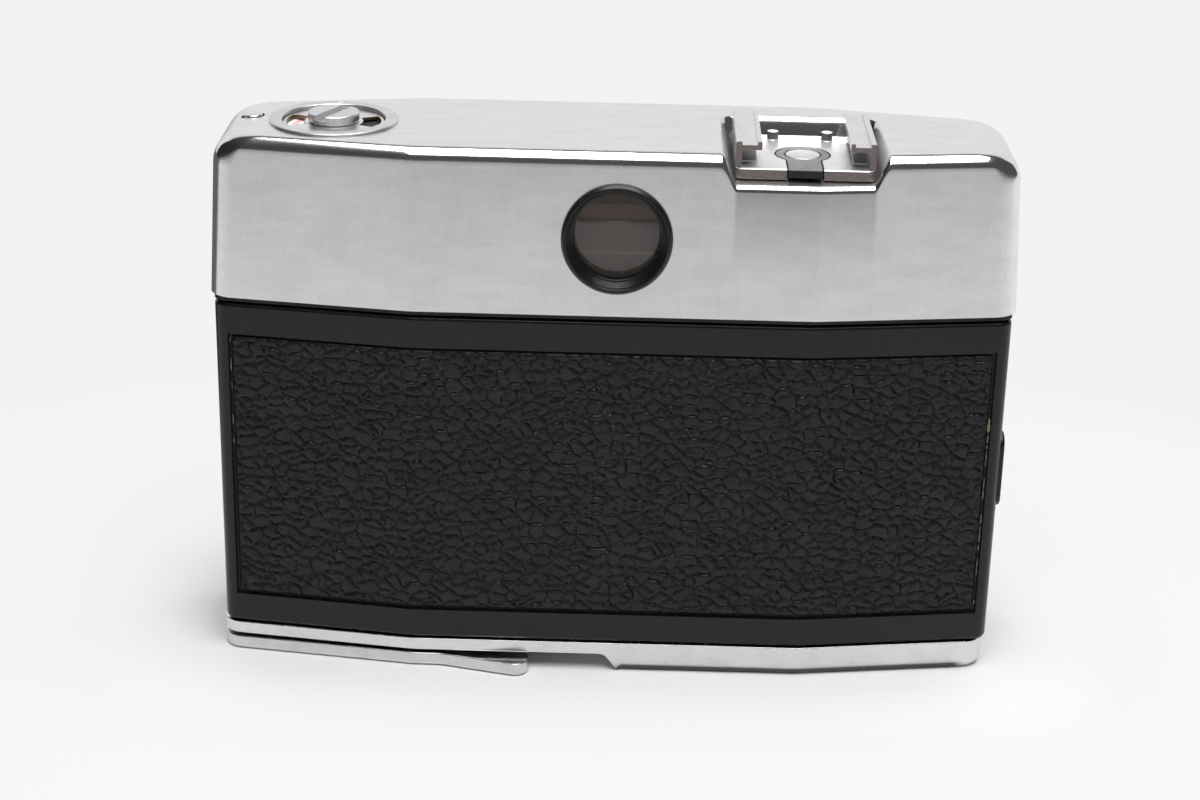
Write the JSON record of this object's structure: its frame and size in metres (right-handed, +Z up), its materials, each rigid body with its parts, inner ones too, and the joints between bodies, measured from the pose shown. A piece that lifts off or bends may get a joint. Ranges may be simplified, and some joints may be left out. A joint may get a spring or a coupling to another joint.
{
  "type": "half frame camera",
  "caption": "Half frame film camera with a wind lever under the base, a hinged back door, an accessory shoe, a frame counter dial and a short ringed lens barrel.",
  "frame": {"origin": "centre of the bounding box's bottom face, on the plane that the base plate rests on", "axes": "+Z up; +Y towards the back door and the eyepiece; -Y along the lens; +X towards the frame counter, the wind lever's pivot and the door's hinge"},
  "size_m": [0.118, 0.0544, 0.083],
  "materials": {
    "black_casting": "die cast, matt black",
    "black_enamel": "black enamel",
    "black_plastic": "moulded, glossy black",
    "bright_chrome": "bright chrome plate",
    "glass": "polished",
    "grey_plastic": "grey insulating plastic",
    "leatherette": "grained leatherette",
    "satin_chrome": "satin chrome plate",
    "steel": "plain steel",
    "white_dial": "white with printed marks"
  },
  "bodies": {
    "camera": {"base_plate": "bright_chrome", "base_screw_1": "bright_chrome", "base_screw_2": "bright_chrome", "base_screw_3": "bright_chrome", "body_casting": "black_casting", "counter_bezel": "bright_chrome", "counter_plate": "satin_chrome", "eyepiece_lens": "glass", "eyepiece_ring": "black_plastic", "film_gate": "black_enamel", "finder_front_lens": "glass", "finder_tube": "black_plastic", "finder_window": "glass", "finder_window_frame": "black_plastic", "front_leatherette_left": "leatherette", "front_leatherette_right": "leatherette", "front_lens": "glass", "front_plate": "satin_chrome", "hinge_pin": "steel", "lens_front_ring": "black_enamel", "lens_housing": "satin_chrome", "rear_lens": "glass", "shoe_base": "bright_chrome", "shoe_contact": "steel", "shoe_insulator": "grey_plastic", "shoe_rail_left": "bright_chrome", "shoe_rail_right": "bright_chrome", "shoe_spring_left": "steel", "shoe_spring_right": "steel", "top_cover": "satin_chrome", "tripod_bush": "steel"},
    "back_door": {"back_door": "black_enamel", "door_leatherette": "leatherette", "pressure_spring": "steel"},
    "door_latch": {"door_latch": "black_enamel"},
    "pressure_plate": {"pressure_plate": "black_enamel"},
    "wind_lever": {"wind_lever": "bright_chrome", "wind_lever_screw": "bright_chrome", "wind_shaft": "steel"},
    "take_up_spool": {"take_up_spool": "black_plastic"},
    "film_sprocket": {"film_sprocket": "steel"},
    "frame_counter": {"counter_dial": "white_dial", "counter_hub": "bright_chrome"},
    "rewind": {"rewind_fork": "steel", "rewind_knob": "bright_chrome"},
    "rewind_crank": {"rewind_crank": "bright_chrome"},
    "top_button": {"top_button": "bright_chrome"},
    "shutter_release": {"shutter_release": "satin_chrome"},
    "aperture_ring": {"aperture_ring": "black_enamel"},
    "focus_ring": {"focus_ring": "black_enamel"},
    "shutter_blade_upper": {"shutter_blade_upper": "steel"},
    "shutter_blade_lower": {"shutter_blade_lower": "steel"}
  },
  "joints": [
    {"name": "back_door_hinge", "type": "hinge", "parent": "camera", "child": "back_door", "pos_m": [0.0565, 0.016, 0.03143], "axis": [0, 0, -1], "range_deg": [0, 110]},
    {"name": "door_latch_slide", "type": "slide", "parent": "back_door", "child": "door_latch", "axis": [0, 0, -1], "range_m": [0, 0.0026], "stiffness_N_per_m": 60, "springref_m": -0.002},
    {"name": "pressure_plate_travel", "type": "slide", "parent": "back_door", "child": "pressure_plate", "axis": [0, 1, 0], "range_m": [0, 0.0003], "stiffness_N_per_m": 400, "springref_m": -0.002},
    {"name": "wind_lever_swing", "type": "hinge", "parent": "camera", "child": "wind_lever", "pos_m": [0.0415, 0.0092, 0.0002], "axis": [0, 0, -1], "range_deg": [0, 135], "stiffness_Nm_per_rad": 0.008, "springref_deg": -28.65},
    {"name": "take_up_spool_turn", "type": "hinge", "parent": "camera", "child": "take_up_spool", "pos_m": [0.0415, 0.0092, 0.03143], "axis": [0, 0, -1], "continuous": true},
    {"name": "film_sprocket_turn", "type": "hinge", "parent": "camera", "child": "film_sprocket", "pos_m": [0.022, 0.01345, 0.03143], "axis": [0, 0, -1], "continuous": true},
    {"name": "frame_counter_turn", "type": "hinge", "parent": "camera", "child": "frame_counter", "pos_m": [0.0415, 0.0097, 0.08065], "axis": [0, 0, -1], "continuous": true},
    {"name": "rewind_turn", "type": "hinge", "parent": "camera", "child": "rewind", "pos_m": [-0.0405, 0.0092, 0.0023], "axis": [0, 0, 1], "continuous": true},
    {"name": "rewind_crank_fold", "type": "hinge", "parent": "rewind", "child": "rewind_crank", "pos_m": [-0.0339, 0.0092, 0.00105], "axis": [0, -1, 0], "range_deg": [0, 100]},
    {"name": "top_button_press", "type": "slide", "parent": "camera", "child": "top_button", "axis": [0, 0, -1], "range_m": [0, 0.0008], "stiffness_N_per_m": 200, "springref_m": -0.001},
    {"name": "shutter_release_press", "type": "slide", "parent": "camera", "child": "shutter_release", "axis": [0, 0, -1], "range_m": [0, 0.004], "stiffness_N_per_m": 150, "springref_m": -0.003},
    {"name": "aperture_ring_turn", "type": "hinge", "parent": "camera", "child": "aperture_ring", "pos_m": [0, -0.0146, 0.03143], "axis": [0, -1, 0], "range_deg": [0, 60]},
    {"name": "focus_ring_turn", "type": "hinge", "parent": "camera", "child": "focus_ring", "pos_m": [0, -0.0181, 0.03143], "axis": [0, -1, 0], "range_deg": [0, 90]},
    {"name": "shutter_blade_upper_swing", "type": "hinge", "parent": "camera", "child": "shutter_blade_upper", "pos_m": [0, -0.0109, 0.04403], "axis": [0, -1, 0], "range_deg": [0, 52], "stiffness_Nm_per_rad": 0.0001, "springref_deg": -28.65},
    {"name": "shutter_blade_lower_swing", "type": "hinge", "parent": "camera", "child": "shutter_blade_lower", "pos_m": [0, -0.0109, 0.01883], "axis": [0, -1, 0], "range_deg": [0, 52]}
  ],
  "couplings": [
    {"joint": "film_sprocket_turn", "follows": "take_up_spool_turn", "ratio": 1.0413},
    {"joint": "frame_counter_turn", "follows": "take_up_spool_turn", "ratio": 0.0289},
    {"joint": "shutter_blade_lower_swing", "follows": "shutter_blade_upper_swing", "ratio": 1}
  ]
}
